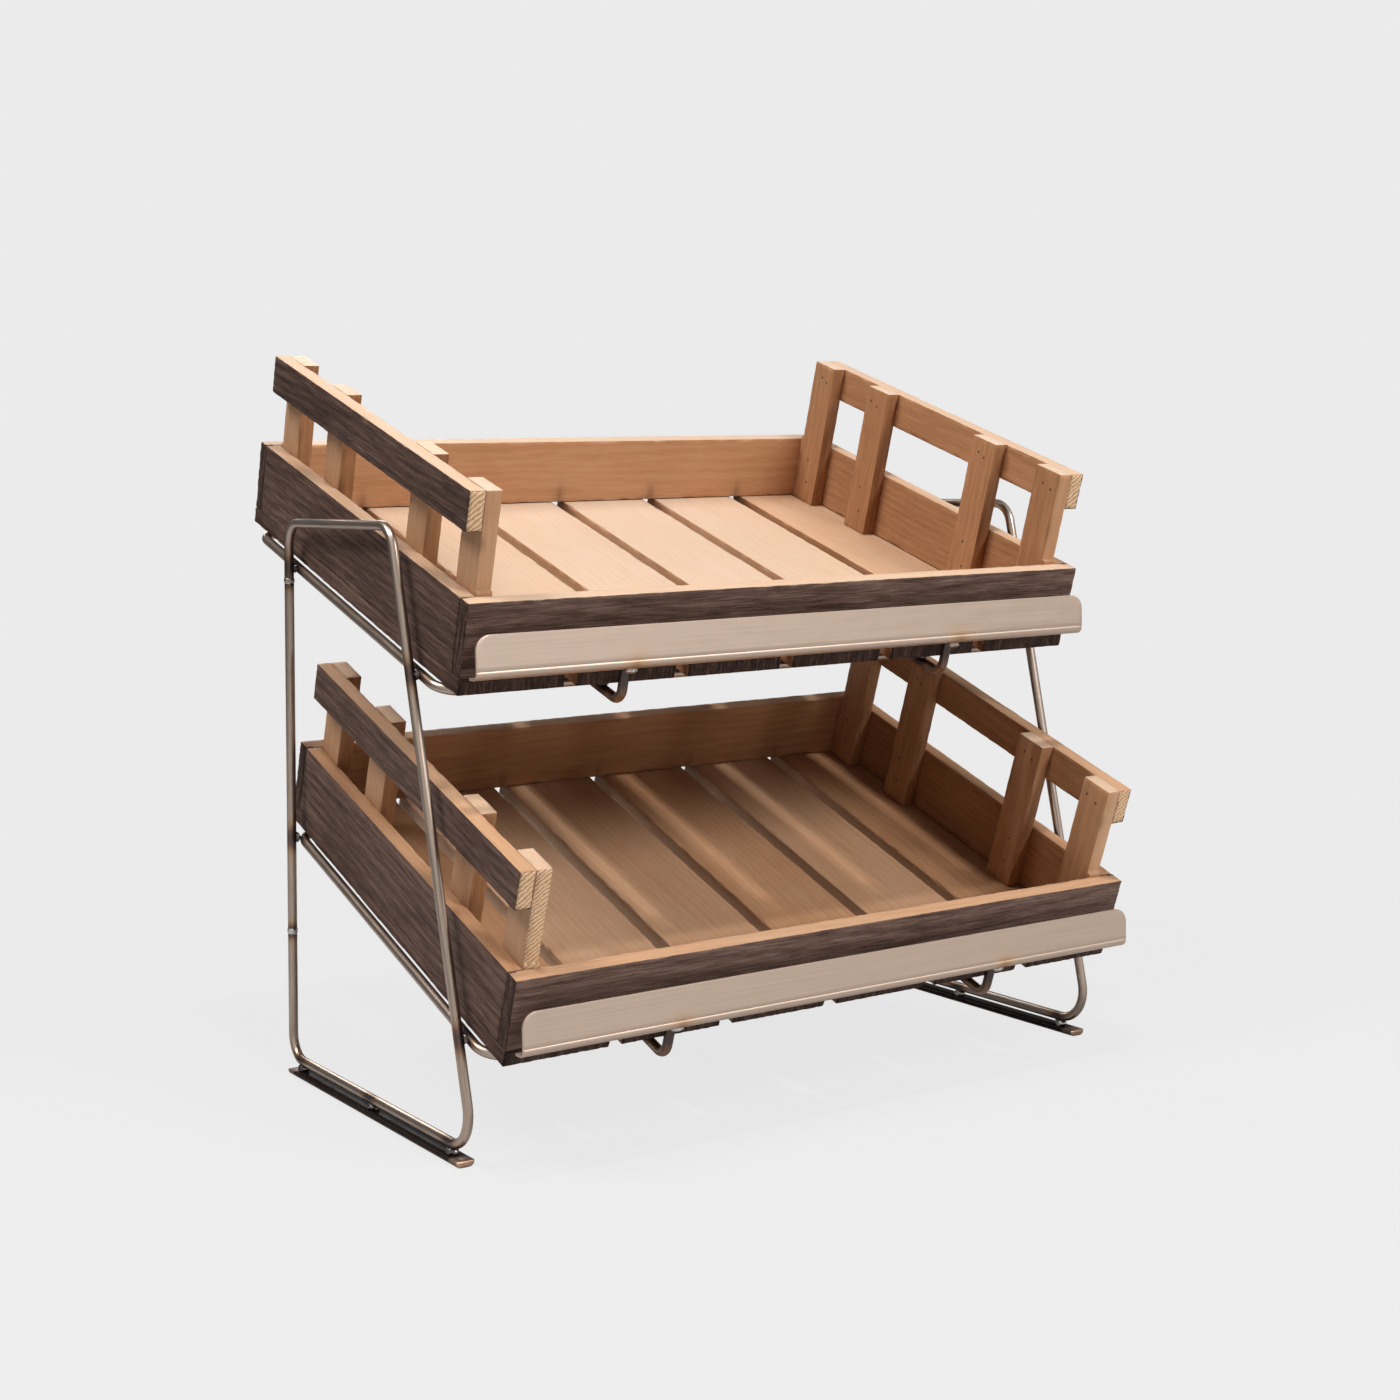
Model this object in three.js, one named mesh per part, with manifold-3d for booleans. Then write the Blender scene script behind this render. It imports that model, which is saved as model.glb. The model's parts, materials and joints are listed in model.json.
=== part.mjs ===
// Countertop display stand with two tilted wooden crates on a welded steel rod frame.
// Lengths are in millimetres: X runs to the right, Y to the back and Z up.
// Two bent end hoops carry two tilted shelf loops. Each loop carries a slatted crate, and the
// hook rods under it turn up in front of the crate and hold a folded ticket strip.

import * as THREE from 'three';
import { mergeVertices } from 'three/addons/utils/BufferGeometryUtils.js';
import Module from 'manifold-3d';

const wasm = await Module();
wasm.setup();

// Clearances
const seatGap = 0.3; // between two pieces that touch
const cutOverrun = 4; // how far a cutter runs past the piece that it cuts

// Crate
const crateWidth = 450;
const crateDepth = 305;
const slatCount = 6;
const slatSpace = 9;
const slatThickness = 10;
const boardHeight = 45;
const boardThickness = 10;
const arris = 0.6; // planed-off edge of every board

// Raised sides of the crate
const sideHeight = 116; // from the underside of the slats to the top of the rail
const railHeight = 24;
const railThickness = 10;
const postWidth = 24;
const postThickness = 10;
const postInset = 12.5; // from the crate's front or back face to the post above the boards
const shoulderRise = 2; // step of an end post, above the top edge of the boards
const endWindow = 43; // between an end post and the next one

// Steel rod
const rodDiameter = 6;
const rodSides = 16;
const bendSteps = 7;

// End hoop
const frontRake = 12.75; // degrees, top of the front leg to the back
const backLean = 4.7; // degrees, top of the back leg to the front
const topBend = 16;
const frontFootBend = 22;
const backFootBend = 15;
const upperSeamDrop = 36.5; // weld seam on the back leg, below the top bar
const lowerSeamHeight = 85.5; // weld seam on the back leg, above the bottom bar

// Shelves: where a loop crosses the front leg, its tilt, and how far the crate reaches past it.
// The back leg stands where it crosses the lower loop, short of the crate's back face.
const lowerWeldHeight = 63.5;
const lowerTilt = 20; // degrees
const lowerReach = 37.5;
const backLegInset = 20.7;
const headroom = 51; // from the lower crate's top corner up to the upper loop
const upperTilt = 18.1; // degrees
const upperReach = 43;
const upperWeldDrop = 84.5; // from the top bar down to the upper loop's weld

// Shelf loop
const sideRodOutset = 2; // centre of a side rod outside the crate's side
const loopFrontInset = 15;
const loopBackInset = 18;
const loopFrontBend = 14;
const loopBackBend = 12;

// Hook rods
const hookSpacing = 241;
const hookTail = 5; // past the centre of the loop's back rod
const hookBend = 8;
const armStandoff = 6; // centre of the arm in front of the crate
const armHeight = 15; // top of the arm above the underside of the slats

// Ticket strip
const stripLength = 448;
const stripHeight = 25.5;
const stripFlange = 9.5;
const sheetThickness = 1.5;
const sheetBend = 4.5; // outer radius of the fold
const stripCorner = 9;
const flangeDrop = 2; // from the top of the arm down to the middle of the flange

// Foot runner
const runnerWidth = 12;
const runnerThickness = 3.8;
const runnerEdge = 3; // rounding of the lower edges
const runnerSpace = 3.5; // open height between the bottom bar and the runner
const runnerFrontInset = 11;
const runnerBackInset = 4;
const cradleLength = 8;
const cradleWidth = 8.6;
const cradleWrap = 1.5; // top of a cradle below the centre of the bar

// Places that follow from the sizes above
const rodRadius = rodDiameter / 2;
const slatWidth = (crateWidth - (slatCount - 1) * slatSpace) / slatCount;
const boardBase = slatThickness + seatGap;
const boardTop = boardBase + boardHeight;
const loopHalfWidth = crateWidth / 2 + sideRodOutset;
const loopLevel = -rodRadius - seatGap; // centre of the loop below the slats
const hookLevel = loopLevel - rodDiameter - seatGap;
const hoopOffset = loopHalfWidth + rodDiameter + seatGap;

const frontSlope = Math.tan(THREE.MathUtils.degToRad(frontRake));
const backSlope = Math.tan(THREE.MathUtils.degToRad(backLean));

// A crate or a shelf is laid out on its tilted plane: X across, Y up the slope from the crate's
// front face, Z square to the slats from their underside. The placement puts that plane where
// its loop crosses the front leg at the given height.
function shelfPlacement(weldHeight, tiltDegrees, reach) {
  const tilt = THREE.MathUtils.degToRad(tiltDegrees);
  const weld = new THREE.Vector3(0, weldHeight * frontSlope, weldHeight);
  const offset = new THREE.Vector3(0, reach, loopLevel).applyAxisAngle(new THREE.Vector3(1, 0, 0), tilt);
  return { tilt, origin: weld.sub(offset) };
}

function onShelf(placement, y, z) {
  const point = new THREE.Vector3(0, y, z).applyAxisAngle(new THREE.Vector3(1, 0, 0), placement.tilt);
  return point.add(placement.origin);
}

function shelfGroup(placement, meshes) {
  const group = new THREE.Group();
  group.rotation.x = placement.tilt;
  group.position.copy(placement.origin);
  group.add(...meshes);
  return group;
}

// Height at which the upper loop crosses the front leg, so that its underside clears the
// highest corner of the lower crate by the headroom.
function upperWeldHeight(lower) {
  const corner = onShelf(lower, crateDepth - postInset, sideHeight);
  const tilt = THREE.MathUtils.degToRad(upperTilt);
  const rise = Math.tan(tilt);
  const height = corner.z + headroom + rodRadius / Math.cos(tilt) - corner.y * rise;
  return height / (1 - frontSlope * rise);
}

const lowerShelf = shelfPlacement(lowerWeldHeight, lowerTilt, lowerReach);
const upperWeld = upperWeldHeight(lowerShelf);
const upperShelf = shelfPlacement(upperWeld, upperTilt, upperReach);
const hoopHeight = upperWeld + upperWeldDrop;
const backWeld = onShelf(lowerShelf, crateDepth - backLegInset, loopLevel);
const footLength = backWeld.y + backWeld.z * backSlope;
const topBarLength = footLength - hoopHeight * (frontSlope + backSlope);

const darkWood = { color: 0x51433c, roughness: 0.85, metalness: 0 };
const paleWood = { color: 0xd9ae7f, roughness: 0.65, metalness: 0 };
const rawSteel = { color: 0x9c8d7c, roughness: 0.38, metalness: 0.9 };
const satinSteel = { color: 0xbbaa99, roughness: 0.5, metalness: 0.85 };

function piece(name, geometry, look) {
  const mesh = new THREE.Mesh(geometry, new THREE.MeshStandardMaterial(look));
  mesh.name = name;
  return mesh;
}

// Centre line of a bent rod: straight runs between corners, each corner rounded to a radius.
// It is sampled at the ends of the runs and at even steps round the bends.
class BentRod extends THREE.Curve {
  constructor(corners, radii) {
    super();
    this.stations = [];
    const heading = (a, b) => b.clone().sub(a).normalize();
    const last = corners.length - 1;
    this.station(corners[0], heading(corners[0], corners[1]));
    for (let i = 1; i < last; i += 1) {
      this.bend(corners[i], heading(corners[i - 1], corners[i]), heading(corners[i], corners[i + 1]), radii[i - 1]);
    }
    this.station(corners[last], heading(corners[last - 1], corners[last]));
  }

  station(point, tangent) {
    this.stations.push({ point: point.clone(), tangent });
  }

  bend(corner, inward, outward, radius) {
    const turn = inward.angleTo(outward);
    const axis = inward.clone().cross(outward).normalize();
    const start = corner.clone().addScaledVector(inward, -radius * Math.tan(turn / 2));
    const centre = start.clone().addScaledVector(axis.clone().cross(inward), radius);
    for (let step = 0; step <= bendSteps; step += 1) {
      const angle = (turn * step) / bendSteps;
      const spoke = start.clone().sub(centre).applyAxisAngle(axis, angle);
      this.station(centre.clone().add(spoke), inward.clone().applyAxisAngle(axis, angle));
    }
  }

  get runs() {
    return this.stations.length - 1;
  }

  getPoint(t, target = new THREE.Vector3()) {
    const place = t * this.runs;
    const index = Math.min(Math.floor(place), this.runs - 1);
    return target.lerpVectors(this.stations[index].point, this.stations[index + 1].point, place - index);
  }

  getTangent(t, target = new THREE.Vector3()) {
    return target.copy(this.stations[Math.round(t * this.runs)].tangent);
  }

  getPointAt(u, target) {
    return this.getPoint(u, target);
  }

  getTangentAt(u, target) {
    return this.getTangent(u, target);
  }
}

function rodGeometry(path, radius = rodRadius) {
  const section = new THREE.Shape();
  section.absarc(0, 0, radius, 0, 2 * Math.PI);
  return new THREE.ExtrudeGeometry(section, {
    curveSegments: rodSides / 2,
    steps: path.runs,
    extrudePath: path,
  });
}

// Solids joined and cut with manifold-3d
function toSolid(geometry) {
  const bare = geometry.clone();
  bare.deleteAttribute('normal');
  bare.deleteAttribute('uv');
  const merged = mergeVertices(bare);
  return new wasm.Manifold(
    new wasm.Mesh({
      numProp: 3,
      vertProperties: new Float32Array(merged.attributes.position.array),
      triVerts: new Uint32Array(merged.index.array),
    }),
  );
}

function toGeometry(solid) {
  const mesh = solid.getMesh();
  const geometry = new THREE.BufferGeometry();
  geometry.setAttribute('position', new THREE.BufferAttribute(mesh.vertProperties, 3));
  geometry.setIndex(new THREE.BufferAttribute(mesh.triVerts, 1));
  const flat = geometry.toNonIndexed();
  flat.computeVertexNormals();
  return flat;
}

// A board is its outline, drawn in two of the shelf's axes, with a thickness along the third
// and an arris planed off round both faces.
function boardGeometry(outline, thickness) {
  return new THREE.ExtrudeGeometry(new THREE.Shape(outline.map(([x, y]) => new THREE.Vector2(x, y))), {
    depth: thickness - 2 * arris,
    bevelThickness: arris,
    bevelSize: arris,
    bevelOffset: -arris,
    bevelSegments: 1,
  }).translate(0, 0, arris);
}

function rectangle(left, right, bottom, top) {
  return [
    [left, bottom],
    [right, bottom],
    [right, top],
    [left, top],
  ];
}

// Outline in X and Z, thickness towards the back
function crossBoard(outline, thickness) {
  return boardGeometry(outline, thickness).rotateX(Math.PI / 2).translate(0, thickness, 0);
}

// Outline in Y and Z, thickness towards the right
function sideBoard(outline, thickness) {
  return boardGeometry(outline, thickness).rotateX(Math.PI / 2).rotateZ(Math.PI / 2);
}

function slats(crate) {
  const meshes = [];
  for (let i = 0; i < slatCount; i += 1) {
    const left = -crateWidth / 2 + i * (slatWidth + slatSpace);
    const geometry = boardGeometry(rectangle(left, left + slatWidth, 0, crateDepth), slatThickness);
    meshes.push(piece(`${crate}_slat_${i + 1}`, geometry, paleWood));
  }
  return meshes;
}

// The front and back boards run the full width, and the side boards fit between them.
function frontAndBackBoards(crate) {
  const outline = rectangle(-crateWidth / 2, crateWidth / 2, boardBase, boardTop);
  const front = piece(`${crate}_front_board`, crossBoard(outline, boardThickness), darkWood);
  const back = piece(`${crate}_back_board`, crossBoard(outline, boardThickness), darkWood);
  back.position.y = crateDepth - boardThickness;
  return [front, back];
}

function sidePieceX(side, outerFace, thickness) {
  return side === 'left' ? -outerFace : outerFace - thickness;
}

function sideWall(crate, side) {
  const end = boardThickness + seatGap;
  const outline = rectangle(end, crateDepth - end, boardBase, boardTop);
  const mesh = piece(`${crate}_${side}_board`, sideBoard(outline, boardThickness), darkWood);
  mesh.position.x = sidePieceX(side, crateWidth / 2, boardThickness);
  return mesh;
}

function sideRail(crate, side) {
  const outline = rectangle(postInset, crateDepth - postInset, sideHeight - railHeight, sideHeight);
  const mesh = piece(`${crate}_${side}_rail`, sideBoard(outline, railThickness), darkWood);
  mesh.position.x = sidePieceX(side, crateWidth / 2, railThickness);
  return mesh;
}

// An end post is wider below its shoulder, where it meets the front or the back board.
function endPostOutline() {
  const foot = boardThickness + seatGap;
  const shoulder = boardTop + shoulderRise;
  return [
    [foot, boardBase],
    [postInset + postWidth, boardBase],
    [postInset + postWidth, sideHeight],
    [postInset, sideHeight],
    [postInset, shoulder],
    [foot, shoulder],
  ];
}

function mirrorInDepth(outline) {
  return outline.map(([y, z]) => [crateDepth - y, z]).reverse();
}

// Four posts a side, numbered from the front, stand on the outer slat inside the side board.
function posts(crate, side) {
  const innerFront = postInset + postWidth + endWindow;
  const innerOutline = rectangle(innerFront, innerFront + postWidth, boardBase, sideHeight);
  const outlines = [
    endPostOutline(),
    innerOutline,
    mirrorInDepth(innerOutline),
    mirrorInDepth(endPostOutline()),
  ];
  const outerFace = crateWidth / 2 - Math.max(boardThickness, railThickness) - seatGap;
  return outlines.map((outline, i) => {
    const mesh = piece(`${crate}_${side}_post_${i + 1}`, sideBoard(outline, postThickness), paleWood);
    mesh.position.x = sidePieceX(side, outerFace, postThickness);
    return mesh;
  });
}

function crate(name, placement) {
  const meshes = [...slats(name), ...frontAndBackBoards(name)];
  for (const side of ['left', 'right']) {
    meshes.push(sideWall(name, side), ...posts(name, side), sideRail(name, side));
  }
  return shelfGroup(placement, meshes);
}

// The end hoop is one rod bent to four corners. Its ends stop at two weld seams on the back leg,
// and a straight upright fills the run between them.
function backLegPoint(x, z) {
  return new THREE.Vector3(x, footLength - z * backSlope, z);
}

function hoopPath(x) {
  const topFront = hoopHeight * frontSlope;
  const corners = [
    backLegPoint(x, hoopHeight - upperSeamDrop),
    new THREE.Vector3(x, topFront + topBarLength, hoopHeight),
    new THREE.Vector3(x, topFront, hoopHeight),
    new THREE.Vector3(x, 0, 0),
    new THREE.Vector3(x, footLength, 0),
    backLegPoint(x, lowerSeamHeight),
  ];
  return new BentRod(corners, [topBend, topBend, frontFootBend, backFootBend]);
}

function uprightPath(x) {
  const bottom = backLegPoint(x, lowerSeamHeight + seatGap);
  const top = backLegPoint(x, hoopHeight - upperSeamDrop - seatGap);
  return new BentRod([bottom, top], []);
}

// The foot runner is a flat bar with rounded lower edges. It hangs under the bottom bar on three
// short cradles, at the ends of the bar's straight run and half way between them.
function runnerGeometry(x) {
  const top = -rodRadius - runnerSpace;
  const bottom = top - runnerThickness;
  const half = runnerWidth / 2;
  const section = new THREE.Shape();
  section.moveTo(-half, top);
  section.lineTo(-half, bottom + runnerEdge);
  section.absarc(-half + runnerEdge, bottom + runnerEdge, runnerEdge, Math.PI, 1.5 * Math.PI);
  section.absarc(half - runnerEdge, bottom + runnerEdge, runnerEdge, 1.5 * Math.PI, 2 * Math.PI);
  section.lineTo(half, top);
  const length = footLength - runnerFrontInset - runnerBackInset;
  const bar = new THREE.ExtrudeGeometry(section, { depth: length, bevelEnabled: false, curveSegments: 6 });
  bar.rotateX(Math.PI / 2).translate(x, runnerFrontInset + length, 0);

  const frontRun = frontFootBend * Math.tan((Math.PI / 2 + Math.atan(frontSlope)) / 2);
  const backRun = backFootBend * Math.tan((Math.PI / 2 + Math.atan(backSlope)) / 2);
  const first = frontRun;
  const third = footLength - backRun;
  const cradleTop = -cradleWrap;
  const cradleHeight = cradleTop - (top + bottom) / 2;
  let solid = toSolid(bar);
  for (const y of [first, (first + third) / 2, third]) {
    const block = new THREE.BoxGeometry(cradleWidth, cradleLength, cradleHeight);
    block.translate(x, y, cradleTop - cradleHeight / 2);
    solid = solid.add(toSolid(block));
  }
  return toGeometry(solid.subtract(toSolid(rodGeometry(hoopPath(x), rodRadius + seatGap))));
}

function endFrame(side) {
  const x = side === 'left' ? -hoopOffset : hoopOffset;
  return [
    piece(`${side}_end_hoop`, rodGeometry(hoopPath(x)), rawSteel),
    piece(`${side}_back_upright`, rodGeometry(uprightPath(x)), rawSteel),
    piece(`${side}_foot_runner`, runnerGeometry(x), rawSteel),
  ];
}

// The shelf loop is one rod bent to a rounded rectangle, its ends butted in the middle of the
// back rod. The crate rests on it.
function loopGeometry() {
  const front = loopFrontInset;
  const back = crateDepth - loopBackInset;
  const corners = [
    [seatGap / 2, back],
    [loopHalfWidth, back],
    [loopHalfWidth, front],
    [-loopHalfWidth, front],
    [-loopHalfWidth, back],
    [-seatGap / 2, back],
  ].map(([x, y]) => new THREE.Vector3(x, y, loopLevel));
  return rodGeometry(new BentRod(corners, [loopBackBend, loopFrontBend, loopFrontBend, loopBackBend]));
}

// A hook rod runs from back to front under the loop and turns up in front of the crate.
function hookGeometry(x) {
  const corners = [
    new THREE.Vector3(x, crateDepth - loopBackInset + hookTail, hookLevel),
    new THREE.Vector3(x, -armStandoff, hookLevel),
    new THREE.Vector3(x, -armStandoff, armHeight),
  ];
  return rodGeometry(new BentRod(corners, [hookBend]));
}

function shelf(tier, placement) {
  return shelfGroup(placement, [
    piece(`${tier}_shelf_loop`, loopGeometry(), rawSteel),
    piece(`${tier}_left_hook_rod`, hookGeometry(-hookSpacing / 2), rawSteel),
    piece(`${tier}_right_hook_rod`, hookGeometry(hookSpacing / 2), rawSteel),
  ]);
}

// The ticket strip is sheet folded once along its length: an upright face with rounded upper
// corners and a flange that runs back to the hook arms. The profile has its outer corner at
// the origin, Y to the back and Z up.
function foldedSheet() {
  const inner = sheetBend - sheetThickness;
  const profile = new THREE.Shape();
  profile.moveTo(stripFlange, 0);
  profile.lineTo(stripFlange, sheetThickness);
  profile.lineTo(sheetBend, sheetThickness);
  profile.absarc(sheetBend, sheetBend, inner, 1.5 * Math.PI, Math.PI, true);
  profile.lineTo(sheetThickness, stripHeight);
  profile.lineTo(0, stripHeight);
  profile.lineTo(0, sheetBend);
  profile.absarc(sheetBend, sheetBend, sheetBend, Math.PI, 1.5 * Math.PI);
  const sheet = new THREE.ExtrudeGeometry(profile, { depth: stripLength, bevelEnabled: false, curveSegments: 8 });
  return sheet.rotateX(Math.PI / 2).rotateZ(Math.PI / 2).translate(-stripLength / 2, 0, 0);
}

// Blank of the strip seen from the front, run through its whole depth
function stripBlank() {
  const half = stripLength / 2;
  const outline = new THREE.Shape();
  outline.moveTo(-half, -cutOverrun);
  outline.lineTo(half, -cutOverrun);
  outline.absarc(half - stripCorner, stripHeight - stripCorner, stripCorner, 0, Math.PI / 2);
  outline.absarc(-half + stripCorner, stripHeight - stripCorner, stripCorner, Math.PI / 2, Math.PI);
  const depth = stripFlange + 2 * cutOverrun;
  const blank = new THREE.ExtrudeGeometry(outline, { depth, bevelEnabled: false, curveSegments: 8 });
  return blank.rotateX(Math.PI / 2).translate(0, depth - cutOverrun, 0);
}

function ticketStrip(tier, placement) {
  const mesh = piece(`${tier}_ticket_strip`, toGeometry(toSolid(foldedSheet()).intersect(toSolid(stripBlank()))), satinSteel);
  const seat = onShelf(placement, -armStandoff, armHeight - flangeDrop);
  const armFront = seat.y - (rodRadius + (sheetThickness / 2) * Math.sin(placement.tilt)) / Math.cos(placement.tilt);
  mesh.position.set(0, armFront - seatGap - stripFlange, seat.z - sheetThickness / 2);
  return mesh;
}

// The origin lies on the counter, under the middle of the whole stand.
function centred(group) {
  const box = new THREE.Box3().setFromObject(group, true);
  const middle = box.getCenter(new THREE.Vector3());
  group.position.set(-middle.x, -middle.y, -box.min.z);
  return group;
}

const stand = new THREE.Group();
stand.add(
  ...endFrame('left'),
  ...endFrame('right'),
  shelf('upper', upperShelf),
  shelf('lower', lowerShelf),
  ticketStrip('upper', upperShelf),
  ticketStrip('lower', lowerShelf),
  crate('upper_crate', upperShelf),
  crate('lower_crate', lowerShelf),
);

const displayStand = new THREE.Group();
displayStand.add(centred(stand));

export default displayStand;
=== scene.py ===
import json
import math
from itertools import count

import bmesh
import bpy
from mathutils import Matrix, Vector, noise


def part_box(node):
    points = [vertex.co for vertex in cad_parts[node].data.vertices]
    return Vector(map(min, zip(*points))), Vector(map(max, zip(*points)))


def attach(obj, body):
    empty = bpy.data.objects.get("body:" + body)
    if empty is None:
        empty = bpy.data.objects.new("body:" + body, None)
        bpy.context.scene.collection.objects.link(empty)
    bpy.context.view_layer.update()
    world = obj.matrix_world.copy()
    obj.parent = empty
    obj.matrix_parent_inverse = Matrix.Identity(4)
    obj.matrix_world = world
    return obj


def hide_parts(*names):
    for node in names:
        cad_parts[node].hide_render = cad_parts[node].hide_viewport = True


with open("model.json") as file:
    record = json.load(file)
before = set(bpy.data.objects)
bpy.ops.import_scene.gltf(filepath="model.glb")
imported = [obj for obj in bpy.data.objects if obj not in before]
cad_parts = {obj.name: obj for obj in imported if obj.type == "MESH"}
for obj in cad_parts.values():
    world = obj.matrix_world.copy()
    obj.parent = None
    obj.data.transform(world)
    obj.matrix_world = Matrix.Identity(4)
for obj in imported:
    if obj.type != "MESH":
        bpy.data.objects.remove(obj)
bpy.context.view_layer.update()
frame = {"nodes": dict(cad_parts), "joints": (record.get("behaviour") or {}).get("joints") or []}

scene = bpy.context.scene
scene.view_settings.view_transform = "Standard"

# Camera: a long lens from the left front, a little above the upper crate and looking slightly
# down. Its place and angles are the photograph's.
camera_data = bpy.data.cameras.new("photograph_view")
camera_data.sensor_width = 36.0
camera_data.lens = 55.868
camera_data.clip_end = 60.0
camera = bpy.data.objects.new("photograph_view", camera_data)
camera.location = (-0.76905, -1.19566, 0.39272)
camera.rotation_euler = [math.radians(turn) for turn in (83.826, 1.222, -33.176)]
scene.collection.objects.link(camera)
scene.camera = camera


# Studio: a small key lamp high in front, which throws the stripes between the slats onto the
# lower crate, soft lamps in front, high on the left and behind, and an even pale surround that
# lights little. Metal sees that surround bright in front and dim behind.
def area_lamp(name, place, target, size, power):
    lamp = bpy.data.lights.new(name, "AREA")
    lamp.shape = "DISK"
    lamp.size = size
    lamp.energy = power
    holder = bpy.data.objects.new(name, lamp)
    holder.location = place
    holder.rotation_euler = (Vector(target) - Vector(place)).to_track_quat("-Z", "Y").to_euler()
    scene.collection.objects.link(holder)


area_lamp("key_lamp", (-0.22, -0.50, 1.90), target=(0.0, 0.0, 0.25), size=0.13, power=12.5)
area_lamp("front_softbox", (0.75, -2.05, 1.66), target=(0.0, 0.0, 0.2), size=0.9, power=42.0)
area_lamp("left_softbox", (-1.15, 0.1, 1.85), target=(-0.2, 0.0, 0.25), size=0.8, power=22.0)
area_lamp("back_softbox", (0.4, 1.9, 1.2), target=(0.0, 0.0, 0.2), size=1.0, power=12.0)


class Shading:
    """The shader nodes of the surround or of one material."""

    def __init__(self, owner):
        owner.use_nodes = True
        self.tree = owner.node_tree
        self.tree.nodes.clear()

    def feed(self, socket, value):
        """Gives an input a plain value, or what another node puts out."""
        if isinstance(value, bpy.types.Node):
            value = value.outputs[0]
        if isinstance(value, bpy.types.NodeSocket):
            self.tree.links.new(value, socket)
        else:
            socket.default_value = value

    def add(self, kind, inputs=(), **named):
        """Adds a node. Its first inputs are given in their order, and its settings and other
        inputs by name."""
        made = self.tree.nodes.new(kind)
        for name, value in named.items():
            if hasattr(made, name):
                setattr(made, name, value)
            else:
                self.feed(made.inputs[name.replace("_", " ")], value)
        for socket, value in zip(made.inputs, inputs):
            self.feed(socket, value)
        return made

    def calc(self, operation, a, b=0.0, c=0.0, clamp=False):
        return self.add("ShaderNodeMath", (a, b, c), operation=operation, use_clamp=clamp)

    def ramp(self, value, *stops):
        """The colour that belongs to a value, between stops of a place and a colour."""
        made = self.add("ShaderNodeValToRGB", Fac=value)
        band = made.color_ramp
        while len(band.elements) < len(stops):
            band.elements.new(0.5)
        for element, (place, colour) in zip(band.elements, stops):
            element.position = place
            element.color = (*colour, 1.0)
        return made


surround_level = 0.831
pale = (surround_level,) * 3
dim = (0.16,) * 3
brightest_side = (0.0, -0.92, 0.39)
surround = bpy.data.worlds.new("studio")
scene.world = surround
shade = Shading(surround)
path = shade.add("ShaderNodeLightPath").outputs
direct = shade.calc("MAXIMUM", path["Is Camera Ray"], path["Is Transmission Ray"])
outward = shade.add("ShaderNodeTexCoord").outputs["Generated"]
facing = shade.add("ShaderNodeVectorMath", (outward, brightest_side), operation="DOT_PRODUCT")
frontness = shade.calc("MULTIPLY_ADD", facing.outputs["Value"], 0.5, 0.5)
mirrored = shade.ramp(frontness, (0.30, dim), (0.78, pale))
lit = shade.add("ShaderNodeBackground", Color=(1.0, 0.97, 0.94, 1.0), Strength=0.10)
glossy = shade.add("ShaderNodeBackground", Color=mirrored, Strength=1.0)
seen = shade.add("ShaderNodeBackground", Color=(*pale, 1.0), Strength=1.0)
indirect = shade.add("ShaderNodeMixShader", (path["Is Glossy Ray"], lit, glossy))
mixed = shade.add("ShaderNodeMixShader", (direct, indirect, seen))
shade.add("ShaderNodeOutputWorld", Surface=mixed)

# the floor takes the stand's shadow faintly near it, and further out has the surround's own level
shadow_edge, shadow_end = 0.45, 1.3
flat_share = 0.92
floor_grey, extra_seen = 0.60, 0.25
floor_mesh = bpy.data.meshes.new("studio_floor")
paper_sheet = bmesh.new()
bmesh.ops.create_grid(paper_sheet, x_segments=1, y_segments=1, size=14.0)
paper_sheet.to_mesh(floor_mesh)
paper_sheet.free()
floor = bpy.data.objects.new("studio_floor", floor_mesh)
scene.collection.objects.link(floor)
paper = bpy.data.materials.new("pale_paper")
shade = Shading(paper)
seen_directly = shade.add("ShaderNodeLightPath").outputs["Is Camera Ray"]
place = shade.add("ShaderNodeTexCoord").outputs["Object"]
away = shade.add("ShaderNodeVectorMath", (place,), operation="LENGTH").outputs["Value"]
level = shade.add("ShaderNodeMapRange", interpolation_type="SMOOTHSTEP", Value=away,
                  From_Min=shadow_edge, From_Max=shadow_end, To_Min=flat_share, To_Max=1.0)
share = shade.calc("MULTIPLY", seen_directly, level)
grey = shade.calc("MULTIPLY_ADD", seen_directly, extra_seen, floor_grey)
matt = shade.add("ShaderNodeBsdfDiffuse", Color=grey)
flat = shade.add("ShaderNodeEmission", Color=(*pale, 1.0), Strength=1.0)
mixed = shade.add("ShaderNodeMixShader", (share, matt, flat))
shade.add("ShaderNodeOutputMaterial", Surface=mixed)
floor_mesh.materials.append(paper)


# The two shelves: each crate's own plane has X across, Y up the slope from the crate's front face
# and Z square to the slats from their underside. It is found from the crate's joint and its loop.
rod_radius = 0.003
touch = 0.0003
loop_level = -rod_radius - touch
loop_front_inset, loop_back_inset = 0.015, 0.018
side_rod_outset = 0.002


def shelf_plane(tier):
    axis = next(Vector(j["axis"]) for j in frame["joints"] if j["child"] == f"{tier}_crate")
    turn = Matrix.Rotation(math.atan2(-axis.y, axis.z), 4, "X")
    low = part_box(f"{tier}_shelf_loop")[0]
    front_rod = Vector((0.0, low.y + rod_radius, low.z + rod_radius))
    return Matrix.Translation(front_rod - turn @ Vector((0.0, loop_front_inset, loop_level))) @ turn


planes = {tier: shelf_plane(tier) for tier in ("upper", "lower")}


def on_shelf(tier, x, y, z):
    return planes[tier] @ Vector((x, y, z))


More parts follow.
